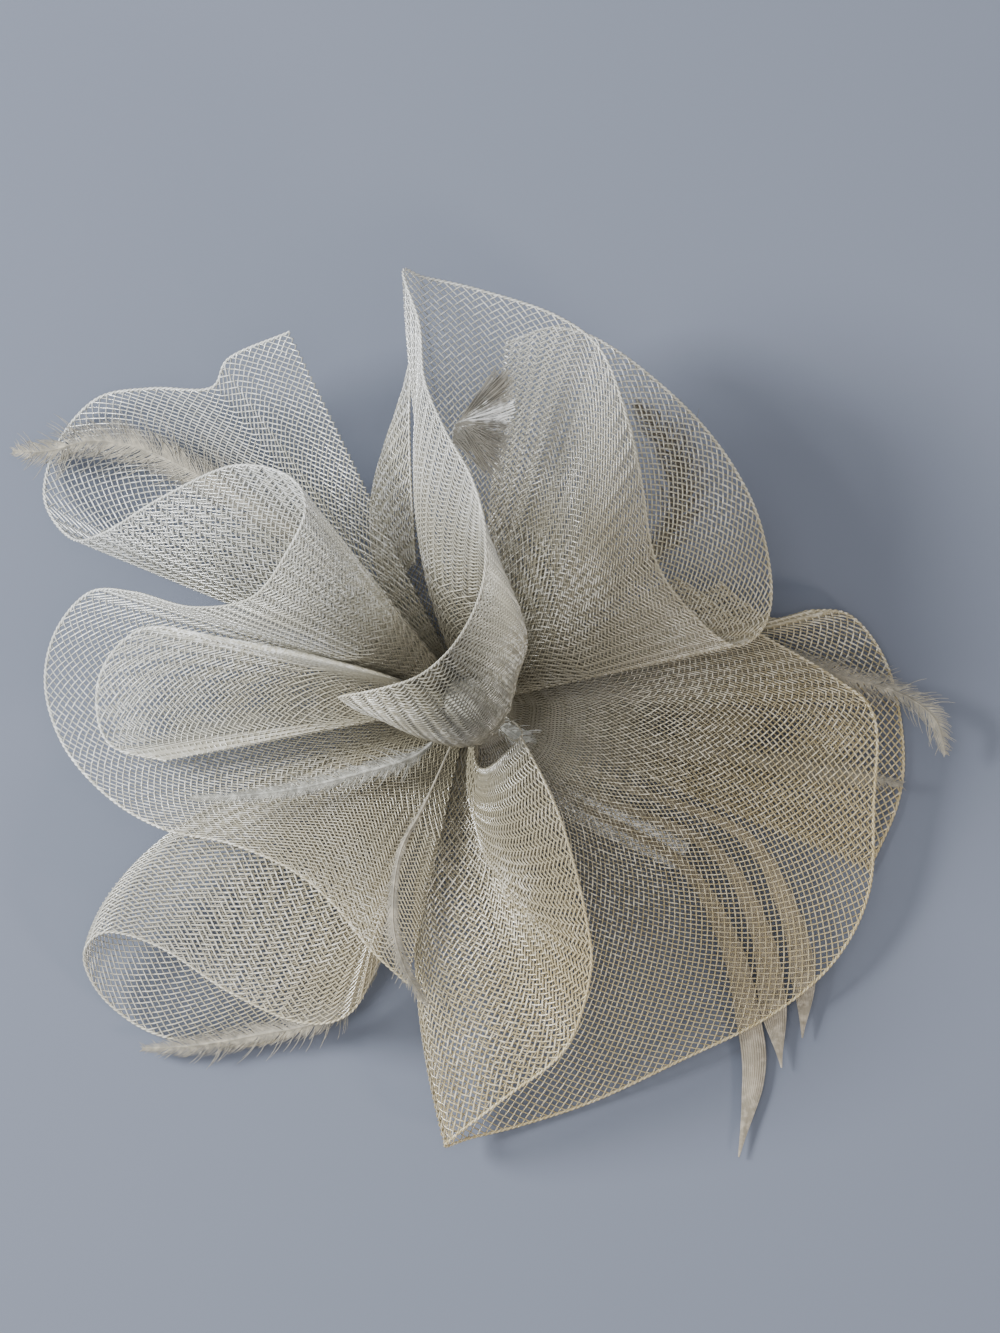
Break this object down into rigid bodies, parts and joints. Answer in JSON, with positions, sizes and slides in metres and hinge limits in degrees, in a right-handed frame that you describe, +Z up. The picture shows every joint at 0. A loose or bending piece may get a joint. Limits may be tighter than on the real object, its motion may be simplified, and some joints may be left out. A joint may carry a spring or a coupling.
{
  "type": "fascinator",
  "caption": "Hair fascinator of gathered see-through crin loops and a tall whorl with long feathers, on a felt base with a flat metal hair clip.",
  "frame": {"origin": "on the hair clip's underside, at the place on the clip's long axis nearest to the sewn core", "axes": "+Z up, away from the head; +Y towards the tall pointed horn of the crown loop; +X towards the broad low fan at the right"},
  "size_m": [0.2825, 0.266, 0.1164],
  "materials": {
    "crin_silver": "open nylon braid, silver grey, glossy strands",
    "crin_warm": "open nylon braid, warm beige grey, glossy strands",
    "feather": "soft matt feather, ivory to beige",
    "binding": "gathered braid bound with thread",
    "felt": "matt felt",
    "clip_metal": "bright plated steel"
  },
  "bodies": {
    "root": {"crown_dome": "crin_silver", "crown_front": "crin_silver", "crown_whorl": "crin_silver", "left_under": "crin_silver", "left_roll": "crin_silver", "left_lobe": "crin_silver", "left_fall": "crin_silver", "inner_left_loop": "crin_silver", "lower_left_top": "crin_warm", "lower_left_under": "crin_warm", "bottom_tongue": "crin_warm", "low_fan": "crin_warm", "right_loop": "crin_warm", "back_strip": "crin_silver", "feather_far_left": "feather", "feather_top_curl": "feather", "feather_right": "feather", "feather_biot_low": "feather", "feather_biot_middle": "feather", "feather_biot_high": "feather", "feather_bottom": "feather", "feather_lower_left": "feather", "feather_over_left": "feather", "feather_white_end": "feather", "feather_left_lobe": "feather", "feather_right_lobe": "feather", "feather_under_dome": "feather", "sewn_core": "binding", "felt_base": "felt", "hair_clip": "clip_metal"}
  },
  "joints": []
}
